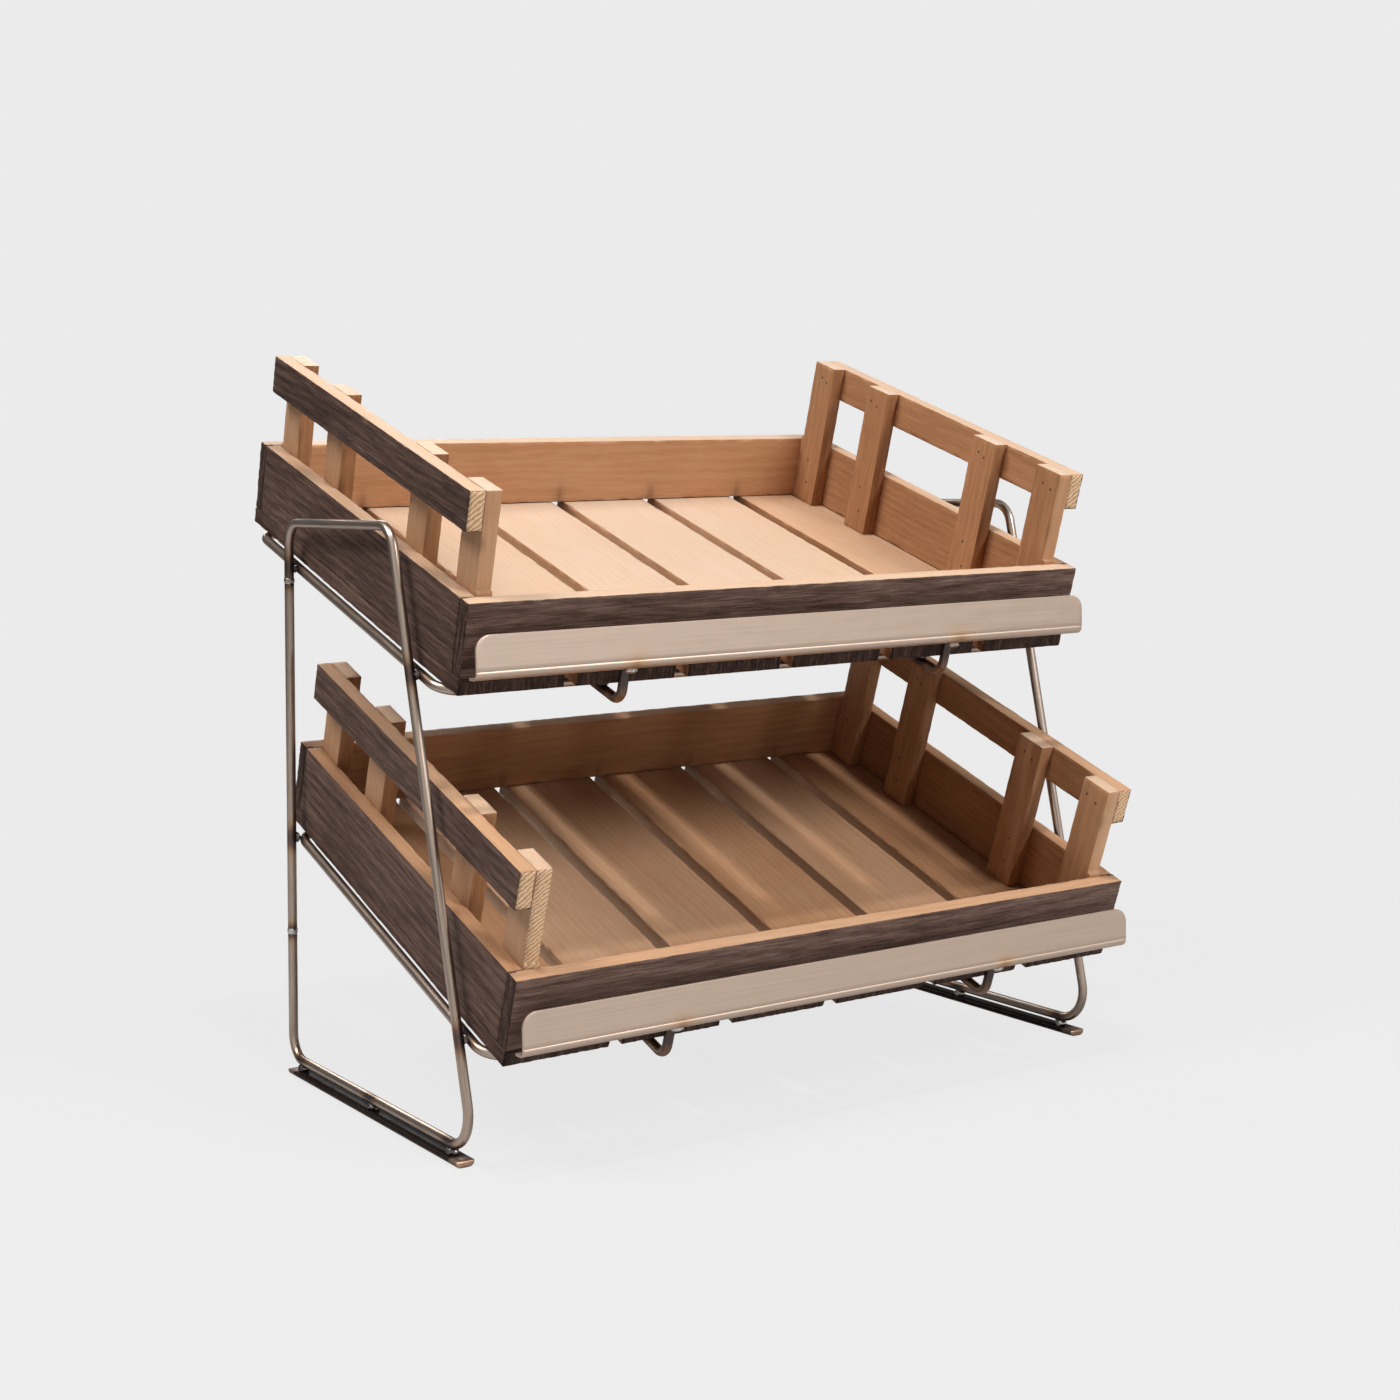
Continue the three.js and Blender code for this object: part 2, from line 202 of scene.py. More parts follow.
def finish_piece(name, bm, material, body):
    """Turns a bmesh into a named piece on its body. A piece named as a CAD node stands for it."""
    mesh = bpy.data.meshes.new(name)
    bm.to_mesh(mesh)
    bm.free()
    mesh.polygons.foreach_set("use_smooth", [True] * len(mesh.polygons))
    mesh.materials.append(material)
    made = bpy.data.objects.new(f"{name}_piece", mesh)
    scene.collection.objects.link(made)
    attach(made, body)
    if name in frame["nodes"]:
        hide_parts(name)
    return made


# Crates: 10 mm boards of pale softwood, nailed. They are stained dark outside and underneath, down
# to the arris, rough sawn at most ends, and planed and bare inside. Every vertex carries values for
# the material: its place in the grain, stain, saw marks, tone with painted light and shade on some
# faces, thin stain, and a darkening, which at the corners of the slat ends is painted shade.
class Surface(Shading):
    """The shader nodes of a material, whose patterns follow values that its meshes carry."""

    def __init__(self, name):
        self.material = bpy.data.materials.new(name)
        super().__init__(self.material)

    def carried(self, name, output="Fac"):
        return self.add("ShaderNodeAttribute", attribute_name=name).outputs[output]

    def noise_on(self, vector, fineness, detail=4.0, roughness=0.6):
        """Noise from 0 to 1 on a vector, with its own fineness along each axis."""
        fine = self.add("ShaderNodeVectorMath", (vector, fineness), operation="MULTIPLY")
        return self.add("ShaderNodeTexNoise", Vector=fine, Scale=1.0, Detail=detail,
                        Roughness=roughness).outputs["Fac"]

    def weighed(self, *parts):
        """Adds up noises, each about its middle and with its weight."""
        total = 0.0
        for value, weight in parts:
            total = self.calc("MULTIPLY_ADD", self.calc("SUBTRACT", value, 0.5), weight, total)
        return total

    def blend(self, share, a, b, mode="MIX"):
        """Mixes two colours. The node keeps its places for colours after those for numbers."""
        made = self.add("ShaderNodeMix", (share,), data_type="RGBA", blend_type=mode)
        self.feed(made.inputs[6], a)
        self.feed(made.inputs[7], b)
        return made.outputs[2]

    def finish(self, **values):
        shader = self.add("ShaderNodeBsdfPrincipled", **values)
        self.add("ShaderNodeOutputMaterial", Surface=shader)
        return self.material


planed_colours = ((0.05, (0.290, 0.132, 0.058)), (0.35, (0.510, 0.268, 0.138)),
                  (0.60, (0.600, 0.375, 0.235)), (0.90, (0.665, 0.500, 0.372)),
                  (1.00, (0.800, 0.670, 0.540)))
pore_colour = (0.25, 0.12, 0.06, 1.0)
sawn_colours = ((0.24, (0.42, 0.222, 0.108)), (0.50, (0.70, 0.440, 0.255)),
                (0.80, (0.86, 0.650, 0.440)))
stain_colours = ((0.22, (0.024, 0.0130, 0.0098)), (0.42, (0.076, 0.0425, 0.0325)),
                 (0.56, (0.152, 0.0900, 0.0700)), (0.80, (0.310, 0.205, 0.162)))
# colour that darkened spots are multiplied by: painted shade at the corners of the slat ends, and
# darker spots on the back boards over the gaps
darkening_colour = (0.42, 0.34, 0.29, 1.0)


class Wood(Surface):
    """Softwood, with the noises that several of its looks share."""

    def __init__(self, name):
        super().__init__(name)
        self.grain = self.carried("grain", "Vector")
        self.along, self.across, self.through = self.split(self.grain)
        # the third value is the board's tone, with the painted light and shade of some faces added
        self.stain, self.sawn, self.tone = self.split(self.carried("finish", "Vector"))
        self.fibres = self.noise_on(self.grain, (46.0, 680.0, 680.0), 5.0, 0.75)
        self.clouds = self.noise_on(self.grain, (12.0, 26.0, 26.0), 3.0)
        self.fuzz = self.noise_on(self.grain, (800.0,) * 3, 4.0, 0.75)
        self.rings = self.growth_rings()

    def split(self, vector):
        return self.add("ShaderNodeSeparateXYZ", Vector=vector).outputs

    def growth_rings(self):
        """Rings about a pith that lies outside the board, wandering along the grain."""
        off_pith = self.add("ShaderNodeCombineXYZ", Y=self.across, Z=self.through)
        radius = self.add("ShaderNodeVectorMath", (off_pith,), operation="LENGTH").outputs["Value"]
        wander = self.calc("MULTIPLY", self.noise_on(self.grain, (4.0, 16.0, 16.0), 2.0), 34.0)
        phase = self.calc("MULTIPLY_ADD", radius, 1250.0, wander)
        return self.calc("MULTIPLY_ADD", self.calc("SINE", phase), 0.5, 0.5)

    def planed_colour(self):
        """The figure of planed wood, fainter where it is pale, with fine brown pores."""
        streaks = self.noise_on(self.grain, (6.0, 210.0, 210.0))
        figure = self.weighed((streaks, 0.32), (self.fibres, 0.66), (self.clouds, 0.40),
                              (self.rings, -0.08))
        strength = self.calc("MULTIPLY_ADD", self.tone, -0.30, 0.70)
        colour = self.ramp(self.calc("MULTIPLY_ADD", figure, strength, self.tone), *planed_colours)
        specks = self.noise_on(self.grain, (70.0, 1700.0, 1700.0), 2.0)
        pores = self.calc("GREATER_THAN", specks, 0.64)
        return self.blend(self.calc("MULTIPLY", pores, 0.14), colour, pore_colour)

    def saw_marks(self):
        """Slanting stripes about 2.4 mm apart, with torn fibre between them."""
        slant = self.calc("MULTIPLY_ADD", self.across, -0.5, self.calc("MULTIPLY", self.along, 0.72))
        slant = self.calc("MULTIPLY_ADD", self.through, 0.6, slant)
        waver = self.calc("MULTIPLY", self.noise_on(self.grain, (150.0,) * 3, 3.0), 10.0)
        stripes = self.calc("SINE", self.calc("MULTIPLY_ADD", slant, 3050.0, waver))
        teeth = self.calc("MULTIPLY_ADD", stripes, 0.5, 0.5)
        return self.calc("MULTIPLY_ADD", teeth, 0.42, self.calc("MULTIPLY", self.fuzz, 0.60))

    def stain_tone(self):
        """How pale the stain is. It is thin on the raised fibres, and on the ends of the boards
        it is split across by short dark checks."""
        swirl = self.add("ShaderNodeTexNoise", Scale=22.0, Detail=2.0, Vector=self.grain)
        warped = self.add("ShaderNodeVectorMath", operation="MULTIPLY_ADD",
                          inputs=(swirl.outputs["Color"], (0.0, 0.0028, 0.0028), self.grain))
        ridges = self.noise_on(warped, (38.0, 820.0, 820.0), 6.0, 0.76)
        furrows = self.noise_on(warped, (9.0, 300.0, 300.0), 5.0, 0.66)
        face = self.weighed((ridges, 1.0), (furrows, 0.22), (self.clouds, 0.24), (self.rings, -0.08))
        face = self.calc("ADD", face, self.calc("ADD", self.carried("thin_stain"), 0.5))
        checks = self.noise_on(self.grain, (260.0, 520.0, 60.0), 3.0, 0.7)
        end = self.calc("ADD", self.weighed((checks, 0.9), (self.fuzz, 0.6)), 0.38)
        return self.calc("ADD", self.calc("MULTIPLY", face, self.calc("SUBTRACT", 1.0, self.sawn)),
                         self.calc("MULTIPLY", end, self.sawn))

    def stain_cover(self):
        """Where the stain lies, ragged where it stops at the arris."""
        tear = self.noise_on(self.grain, (120.0, 420.0, 420.0), 3.0)
        edge = self.calc("MULTIPLY_ADD", self.calc("SUBTRACT", tear, 0.5), 0.8, self.stain)
        return self.calc("MULTIPLY", self.calc("SUBTRACT", edge, 0.42), 8.0, clamp=True)


def wood(name, stained):
    """Wood with its saw marks, its darkened spots, some of them painted shade, and, where it is
    stained, the stain on top.
    """
    shade = Wood(name)
    calc = shade.calc
    cut = shade.saw_marks()
    colour = shade.blend(shade.sawn, shade.planed_colour(), shade.ramp(cut, *sawn_colours))
    height = calc("MULTIPLY", shade.fibres, calc("MULTIPLY_ADD", shade.sawn, -0.35, 0.35))
    height = calc("MULTIPLY_ADD", cut, calc("MULTIPLY", shade.sawn, 1.3), height)
    if stained:
        tone, cover = shade.stain_tone(), shade.stain_cover()
        colour = shade.blend(cover, colour, shade.ramp(tone, *stain_colours))
        height = calc("ADD", calc("MULTIPLY", height, calc("SUBTRACT", 1.0, cover)),
                      calc("MULTIPLY", tone, calc("MULTIPLY", cover, 2.4)))
    colour = shade.blend(shade.carried("darkening"), colour, darkening_colour, "MULTIPLY")
    relief = shade.add("ShaderNodeBump", Strength=0.5, Distance=0.0006, Height=height)
    return shade.finish(Base_Color=colour, Roughness=0.6, Specular_IOR_Level=0.14, Normal=relief)


bare_wood = wood("bare_planed_wood", False)
stained_wood = wood("stained_sawn_wood", True)
planed_arris, stained_arris = 0.0004, 0.0007
lengthwise_step, planed_step, stained_step = 0.003, 0.0045, 0.0022


def stations(low, high, step, arris, ledge=None):
    """Places of the grid lines along one edge of a board, close together at its two arrises and
    at the height of a ledge."""
    inner = high - low - 2 * arris
    parts = max(1, round(inner / step))
    places = [low, low + arris * 0.45, high - arris * 0.45, high]
    places += [low + arris + inner * i / parts for i in range(parts + 1)]
    if ledge:
        places += [ledge - arris, ledge, ledge + arris * 0.4]
    return sorted(places)


def lines_from(key, last, face):
    """How many grid lines a vertex lies from a face, such as -X."""
    a = "XYZ".index(face[1])
    return key[a] if face[0] == "-" else last[a] - key[a]


def finish_share(key, last, faces, sides_met):
    """How much of a finish a vertex takes from the faces that have it, a little less where faces
    meet, and some of it one line away."""
    near = [lines_from(key, last, face) for face in faces]
    if 0 in near:
        return 1.0 if sides_met == 1 else 0.8
    return 0.35 if 1 in near else 0.0


def ripple(place, along, across, shift=0.0):
    """Noise from -1 to 1 at a place in the grain, with its fineness along and across the grain."""
    return noise.noise(Vector((place.x * along + shift, place.y * across, place.z * across)))


def worn_edge(core, reach_out, place, arris, wear, ragged):
    """Where a vertex of an arris or corner ends up: worn and chipped, or rolled over."""
    if sum(abs(v) > 1e-9 for v in reach_out) > 1:
        chip = max(0.0, ripple(place, 90, 240, 7) - 0.25)
        if ragged:
            chip = 3.0 * chip + 0.12
        worn = min(0.9, max(0.0, ripple(place, 200, 420)) * wear / arris)
        return core + reach_out.normalized() * (arris * (1.0 - worn) - chip * wear * 2.2)
    roll = 0.5 + 0.5 * ripple(place, 24, 90)
    return core + reach_out * (1.0 - 0.22 * roll)


def darkening_at(point, marks):
    """How dark a place is made by marks, each with its middle, its size along each axis and its
    strength."""
    return max([0.0] + [strength * math.exp(-sum(((point[a] - spot[a]) / size[a]) ** 2
                                                 for a in range(3)))
                        for spot, size, strength in marks])


def board(name, body, plane, low, high, along, number, stain=(), sawn=(), joints=(), tone=0.5,
          tones=None, ledge=None, marks=(), wear=0.0005, thin=0.0):
    """A board between two corners of the shelf's plane, its faces gridded, its arrises worn and
    its grain along the given axis. Stain and sawn name the faces that are stained or show saw
    marks, such as -X. Tone is how pale the board is, and the faces given a change of tone are
    painted light and shade: made paler or darker as light falls on them or they lie in shade.
    Joints are pairs of a stained face and the face round its hidden edge. A ledge is a step at
    the foot of one face, with its height and depth. Marks darken small spots, wear is how deep the
    arrises are worn, and thin is how much paler the stain is."""
    low, high = Vector(low), Vector(high)
    arris = stained_arris if stain else planed_arris
    across, through = [a for a in range(3) if a != along]
    steps = [stained_step if stain else planed_step] * 3
    steps[along] = lengthwise_step
    ledge_face, ledge_height, ledge_depth = ledge or (None, None, 0.0)
    lines = [stations(low[a], high[a], steps[a], arris, ledge_height if a == 2 else None)
             for a in range(3)]
    last = [len(line) - 1 for line in lines]
    pith = (0.05 + 0.021 * (number * 7 % 5), 0.034 + 0.017 * (number * 3 % 4))
    from_pith = Vector((number * 0.731, *pith))
    tone += 0.10 * noise.noise(Vector((number * 1.37, 4.1, 0.3)))
    bm = bmesh.new()
    grain = bm.verts.layers.float_vector.new("grain")
    finish = bm.verts.layers.float_vector.new("finish")
    darkening = bm.verts.layers.float.new("darkening")
    thinness = bm.verts.layers.float.new("thin_stain")
    bmesh.ops.create_cube(bm, size=1.0)
    for a in range(3):
        long_edges = [e for e in bm.edges if abs((e.verts[0].co - e.verts[1].co)[a]) > 0.5]
        bmesh.ops.subdivide_edges(bm, edges=long_edges, cuts=last[a] - 1, use_grid_fill=True)

    for vert in bm.verts:
        key = [round((vert.co[a] + 0.5) * last[a]) for a in range(3)]
        point = Vector([lines[a][key[a]] for a in range(3)])
        core = Vector([min(max(point[a], low[a] + arris), high[a] - arris) for a in range(3)])
        sides_met = sum(abs(v) > 1e-9 for v in point - core)
        local = point - low
        place = Vector((local[along], local[across], local[through])) + from_pith
        cut_faces = [face for face in sawn if lines_from(key, last, face) == 0]
        if sides_met:
            point = worn_edge(core, point - core, place, arris, wear, ragged=bool(cut_faces))
        for face in cut_faces if stain else ():
            torn = max(0.0, noise.noise(Vector((place.y * 330, place.z * 330, number))) + 0.25)
            point["XYZ".index(face[1])] += torn * wear * (1 if face[0] == "-" else -1)
        if ledge and lines_from(key, last, ledge_face) < 3 and key[2] <= lines[2].index(ledge_height):
            point.y += ledge_depth * (-1 if ledge_face == "-Y" else 1)
        vert.co = plane @ point
        stained = finish_share(key, last, stain, sides_met)
        for face, hidden in joints:
            if lines_from(key, last, face) < 4 and lines_from(key, last, hidden) < 3:
                stained = 1.0
        # painted light and shade: some faces are made paler or darker as light falls on them
        paler = sum(change for face, change in (tones or {}).items()
                    if lines_from(key, last, face) == 0)
        vert[grain] = place
        vert[finish] = (stained, finish_share(key, last, sawn, sides_met), tone + paler)
        vert[thinness] = thin
        vert[darkening] = darkening_at(point, marks)

    material = stained_wood if stain else bare_wood
    return finish_piece(name, bm, material, body)


crate_width, crate_depth = 0.450, 0.305
half = crate_width / 2
thickness = 0.010
slat_space = 0.009
slat_width = (crate_width - 5 * slat_space) / 6
first_slat_extra = 0.0012
wall_low, wall_high = thickness + touch, 0.0553
side_height, rail_height = 0.116, 0.024
rail_thickness = thickness + 0.8 * touch
post_width, post_inset, end_window = 0.024, 0.0125, 0.043
inner_front = post_inset + post_width + end_window
post_fronts = (post_inset, inner_front, crate_depth - inner_front - post_width,
               crate_depth - post_inset - post_width)
shoulder_rise = 0.002
shoulder_depth = post_inset - thickness - touch
slat_wear, wall_wear = 0.0012, 0.0009
# sizes of the darkening: at the corners of the slat ends it is painted shade; on the back boards over
# the gaps it makes darker spots
corner_painted_shade, gap_darkening_size = (0.003, 0.022, 0.008), (0.0028, 0.003, 0.008)
outer_faces = {"left": "-X", "right": "+X"}


def slat_left(i):
    return -half + i * (slat_width + slat_space)


def span(side, outside, deep):
    """From where to where a board at one side reaches in X, from its outer face inwards."""
    sign = -1 if side == "left" else 1
    return sorted((sign * outside, sign * (outside - deep)))


class Crate:
    """One crate, its boards numbered in turn. Each slat has its own tone, and in the lower crate the
    slats are set darker, as painted shade under the upper crate. The walls' shift is painted light
    and shade: in the lower crate it makes the boards and rails darker and the posts paler. The
    upper edges are painted paler where light falls on them, and the faces seen in the gaps between
    the slats are painted darker in the upper crate, as shade, and paler in the lower, as bounce
    light. Its stain can be thinner."""

    def __init__(self, tier, numbers, slat_tones, wall_painted_light, gap_painted_light, top_painted_light, thin):
        self.tier = tier
        self.numbers = numbers
        self.slat_tones = slat_tones
        self.wall_painted_light = wall_painted_light
        self.gap_painted_light = gap_painted_light
        self.top_painted_light = top_painted_light
        self.thin = thin

    def part(self, name, low, high, along, **finish):
        body = f"{self.tier}_crate"
        board(f"{body}_{name}", body, planes[self.tier], low, high, along, next(self.numbers), **finish)

    def slats(self):
        """Six slats from front to back, darkened at the corners of their ends as painted shade."""
        for i, tone in enumerate(self.slat_tones):
            left = slat_left(i)
            right = left + slat_width
            edges = ("-X",) if i == 0 else ("+X",) if i == 5 else ()
            # painted shade and light: the side faces seen in the gaps are darker in the upper crate and
            # paler, as bounce light, in the lower
            self.part(f"slat_{i + 1}", (left, 0.0, 0.0),
                      (right + (0 if i else first_slat_extra), crate_depth, thickness), 1,
                      stain=("-Y", "+Y", "-Z") + edges, sawn=("-Y", "+Y"),
                      joints=[(face, "+Z") for face in ("-Y", "+Y") + edges], tone=tone,
                      tones={face: self.gap_painted_light for face in ("-X", "+X") if face not in edges},
                      marks=[((x, end, 0.002), corner_painted_shade, 1.0)
                             for x in (left, right) for end in (0.0, crate_depth)], wear=slat_wear)

    def end_board(self, end, front, outer, inner, tone, marks=()):
        """A front or back board, which lies on the slats and runs the full width."""
        # its top face is painted paler, as painted light falling on it
        self.part(f"{end}_board", (-half, front, wall_low), (half, front + thickness, wall_high), 0,
                  stain=(outer, "-X", "+X", "-Z"), sawn=("-X", "+X"),
                  joints=(("-X", inner), ("+X", inner)), thin=self.thin + 0.04,
                  tone=tone + self.wall_painted_light, tones={"+Z": self.top_painted_light}, marks=marks, wear=wall_wear)

    def side_board(self, side):
        """A low board on the slats, between the front and the back board."""
        left, right = span(side, half, thickness)
        # its top face is painted paler, as painted light falling on it
        self.part(f"{side}_board", (left, wall_low, wall_low),
                  (right, crate_depth - wall_low, wall_high), 1,
                  stain=(outer_faces[side], "-Z", "-Y", "+Y"), thin=self.thin,
                  tone=0.14 + self.wall_painted_light / 3, tones={"+Z": self.top_painted_light + 0.02}, wear=wall_wear)

    def rail(self, side):
        """A rail along the tops of the posts, above the side board."""
        left, right = span(side, half, rail_thickness)
        # its top face is painted paler, as painted light falling on it
        self.part(f"{side}_rail", (left, post_inset, side_height - rail_height),
                  (right, crate_depth - post_inset, side_height), 1,
                  stain=(outer_faces[side], "-Z"), sawn=("-Y", "+Y"), thin=self.thin - 0.03,
                  tone=0.25 + self.wall_painted_light / 2, tones={"+Z": self.top_painted_light + 0.04}, wear=wall_wear)

    def posts(self, side):
        """Four posts inside the side board and the rail. The end posts have a shoulder that steps
        out over the front or back board."""
        left, right = span(side, half - thickness - touch, thickness)
        for i, front in enumerate(post_fronts):
            shoulder_face = {0: "-Y", 3: "+Y"}.get(i)
            shoulder = (shoulder_face, wall_high + shoulder_rise, shoulder_depth)
            rough_sawn = (self.tier, side, i) == ("lower", "left", 0)
            # painted light and shade: tops and outer faces paler where light falls, the front post's
            # front face paler, and the other posts' front faces darker in shade
            self.part(f"{side}_post_{i + 1}", (left, front, wall_low),
                      (right, front + post_width, side_height), 2,
                      ledge=shoulder if shoulder_face else None, sawn=("-Y",) if rough_sawn else (),
                      tone=0.22 - self.wall_painted_light / 2,
                      tones={"+Z": self.top_painted_light + 0.20, "-Y": -0.10 if i else 0.18,
                             outer_faces[side]: 0.20})


# the back board is darker at its foot where it stands over each gap between the slats
gap_darkening = [((slat_left(i) - slat_space / 2, crate_depth - thickness, wall_low + 0.004),
             gap_darkening_size, 0.55) for i in range(1, 6)]
# the lower crate's darker slats, walls and upper edges are painted shade under the upper crate
upper = Crate("upper", count(1), slat_tones=(0.74, 0.76, 0.82, 0.80, 0.76, 0.58), wall_painted_light=0.0,
              gap_painted_light=-0.36, top_painted_light=0.46, thin=-0.02)
lower = Crate("lower", count(41), slat_tones=(0.38, 0.54, 0.44, 0.38, 0.50, 0.34), wall_painted_light=-0.12,
              gap_painted_light=0.22, top_painted_light=0.24, thin=0.03)
for crate in (upper, lower):
    crate.slats()
    crate.end_board("front", 0.0, "-Y", "+Y", tone=0.34)
    crate.end_board("back", crate_depth - thickness, "+Y", "-Y", tone=0.40, marks=gap_darkening)
    for side in ("left", "right"):
        crate.side_board(side)
        crate.rail(side)
        crate.posts(side)


# Nails: small round heads, a pair through each post into the rail and a pair into the wall, two
# through each end of the front and back boards, and two through each slat end from below.
def nail_steel():
    shade = Surface("nail_steel")
    place = shade.add("ShaderNodeTexCoord").outputs["Object"]
    speck = shade.add("ShaderNodeTexNoise", Scale=900.0, Detail=3.0, Vector=place)
    colour = shade.ramp(speck, (0.0, (0.035, 0.024, 0.018)), (1.0, (0.16, 0.12, 0.09)))
    return shade.finish(Base_Color=colour, Metallic=0.7, Roughness=0.5)


nail_material = nail_steel()
head_radius, head_height, head_sunk = 0.0012325, 0.0005, 0.00036
# the height of each pair in a post, and how far its nails lie from its middle, along and up
rail_pair, wall_pair = (0.105, 0.0035, 0.0011375), (0.034, 0.0015, 0.0085)
wall_end_levels = (0.021, 0.044)
nail_inset = 0.005
slat_nail_inset = 0.014


def nail_head(bm, plane, place, outward):
    """A slightly domed head: a flattened ball, sunk so that only its crown stands out."""
    turn = Vector(outward).to_track_quat("Z", "Y").to_matrix().to_4x4()
    dome = Matrix.Diagonal((head_radius, head_radius, head_height, 1.0))
    seat = Matrix.Translation(Vector(place) - Vector(outward) * head_sunk)
    bmesh.ops.create_uvsphere(bm, u_segments=10, v_segments=8, radius=1.0,
                              matrix=plane @ seat @ turn @ dome)


for tier, plane in planes.items():
    bm = bmesh.new()
    inner_face = half - 2 * thickness - touch
    numbers = count(1)
    for sign in (-1, 1):
        for front in post_fronts:
            middle = front + post_width / 2
            for level, along, up in (rail_pair, wall_pair):
                for k in (-1, 1):
                    stray = 0.004 * noise.noise(Vector((next(numbers) * 3.7, tier == "upper", 0.5)))
                    place = (sign * inner_face, middle + stray + along * k, level + up * k)
                    nail_head(bm, plane, place, (-sign, 0, 0))
        for y, outward in ((0.0, -1), (crate_depth, 1)):
            for z in wall_end_levels:
                stray = 0.002 * noise.noise(Vector((next(numbers) * 2.3, 7.0, 0.5)))
                nail_head(bm, plane, (sign * (half - nail_inset), y, z + stray), (0, outward, 0))
    for i in range(6):
        for x in (slat_left(i) + slat_nail_inset, slat_left(i) + slat_width - slat_nail_inset):
            for y in (nail_inset, crate_depth - nail_inset):
                nail_head(bm, plane, (x, y, 0.0), (0, 0, -1))
    finish_piece(f"{tier}_crate_nails", bm, nail_material, f"{tier}_crate")


# Welded steel: bare drawn rod, 6 mm, warm grey and satin, with straw, brown and blue heat tint
# round every weld. Each vertex carries how much heat it had and its place along the rod.
def steel(name, colours, roughness, fineness, tints, scaled=False):
    """Two colours in streaks of a given fineness, tinted from cold to hot. Scaled steel is bare
    metal only where it carries heat, and dull elsewhere."""
    shade = Surface(name)
    heat = shade.carried("weld_heat")
    drawn = shade.carried("drawn", "Vector")
    lines = shade.noise_on(drawn, fineness)
    patches = shade.noise_on(drawn, (55.0, 130.0, 130.0), 3.0)
    patchy = shade.calc("MULTIPLY_ADD", patches, 0.30, -0.15)
    hot = shade.calc("ADD", heat, shade.calc("MULTIPLY", patchy, heat))
    streaked = shade.ramp(lines, (0.25, colours[0]), (0.75, colours[1]))
    relief = shade.add("ShaderNodeBump", Strength=0.01, Distance=0.0002, Height=lines)
    return shade.finish(Base_Color=shade.blend(1.0, streaked, shade.ramp(hot, *tints), "MULTIPLY"),
                        Roughness=shade.calc("MULTIPLY_ADD", patches, 0.22, roughness - 0.11),
                        Metallic=hot if scaled else 1.0,
                        Specular_IOR_Level=0.05 if scaled else 0.5, Normal=relief)


rod_tints = ((0.0, (1.0, 1.0, 1.0)), (0.15, (0.98, 0.93, 0.86)), (0.35, (0.80, 0.66, 0.53)),
             (0.55, (0.42, 0.34, 0.31)), (0.75, (0.23, 0.23, 0.27)), (1.0, (0.20, 0.19, 0.21)))
rod_steel = steel("drawn_rod_steel", ((0.304, 0.230, 0.184), (0.552, 0.442, 0.363)), 0.33,
                  (30.0, 1300.0, 1300.0), rod_tints)
weld_tints = ((0.0, (1.0, 1.0, 1.0)), (0.5, (0.55, 0.46, 0.40)), (1.0, (0.14, 0.13, 0.15)))
weld_steel = steel("weld_metal", ((0.36, 0.34, 0.32), (0.78, 0.76, 0.73)), 0.30, (700.0,) * 3,
                   weld_tints)
scale_tints = ((0.0, (0.030, 0.025, 0.024)), (0.5, (0.36, 0.33, 0.31)), (1.0, (1.0, 0.88, 0.76)))
runner_steel = steel("scaled_runner_steel", ((0.42, 0.300, 0.240), (0.66, 0.490, 0.400)), 0.42,
                     (30.0, 250.0, 250.0), scale_tints, scaled=True)
line_step = 0.0035
bend_steps = 12
end_narrowing = 0.86
seam_profile = ((-0.0022, -0.0002), (-0.0014, 0.00016), (-0.0005, 0.00036), (0.0004, 0.0004),
                (0.0013, 0.0002), (0.0022, -0.0002))


def rounded(corners, radii=()):
    """The centre line through the corners, each inner one rounded, in short even steps."""
    corners = [Vector(c) for c in corners]
    points = [corners[0]]
    for before, corner, after, radius in zip(corners, corners[1:], corners[2:], radii):
        inward, outward = (corner - before).normalized(), (after - corner).normalized()
        turn = inward.angle(outward)
        start = corner - inward * radius * math.tan(turn / 2)
        axis = inward.cross(outward).normalized()
        centre = start + axis.cross(inward) * radius
        points += [centre + Matrix.Rotation(turn * i / bend_steps, 3, axis) @ (start - centre)
                   for i in range(bend_steps + 1)]
    points.append(corners[-1])
    fine = [points[0]]
    for point in points[1:]:
        start = fine[-1]
        run = point - start
        parts = max(1, round(run.length / line_step))
        fine += [start + run * (i / parts) for i in range(1, parts + 1)]
    return fine


def circle(sides):
    """The section of the rod."""
    turns = [math.tau * i / sides for i in range(sides)]
    return [(rod_radius * math.cos(turn), rod_radius * math.sin(turn)) for turn in turns]


def sections_along(points):
    """The direction of a line at each of its points, and the two axes of a section there, which
    follow the line without twisting."""
    tangents = [(after - before).normalized()
                for before, after in zip(points[:1] + points, points[1:] + points[-1:])]
    previous = tangents[0]
    up = Vector((0, 0, 1)) if abs(previous.z) < 0.9 else Vector((0, 1, 0))
    side = previous.cross(up).normalized()
    axes = []
    for tangent in tangents:
        side = previous.rotation_difference(tangent) @ side
        side = (side - tangent * side.dot(tangent)).normalized()
        axes.append((side, side.cross(tangent)))
        previous = tangent
    return tangents, axes


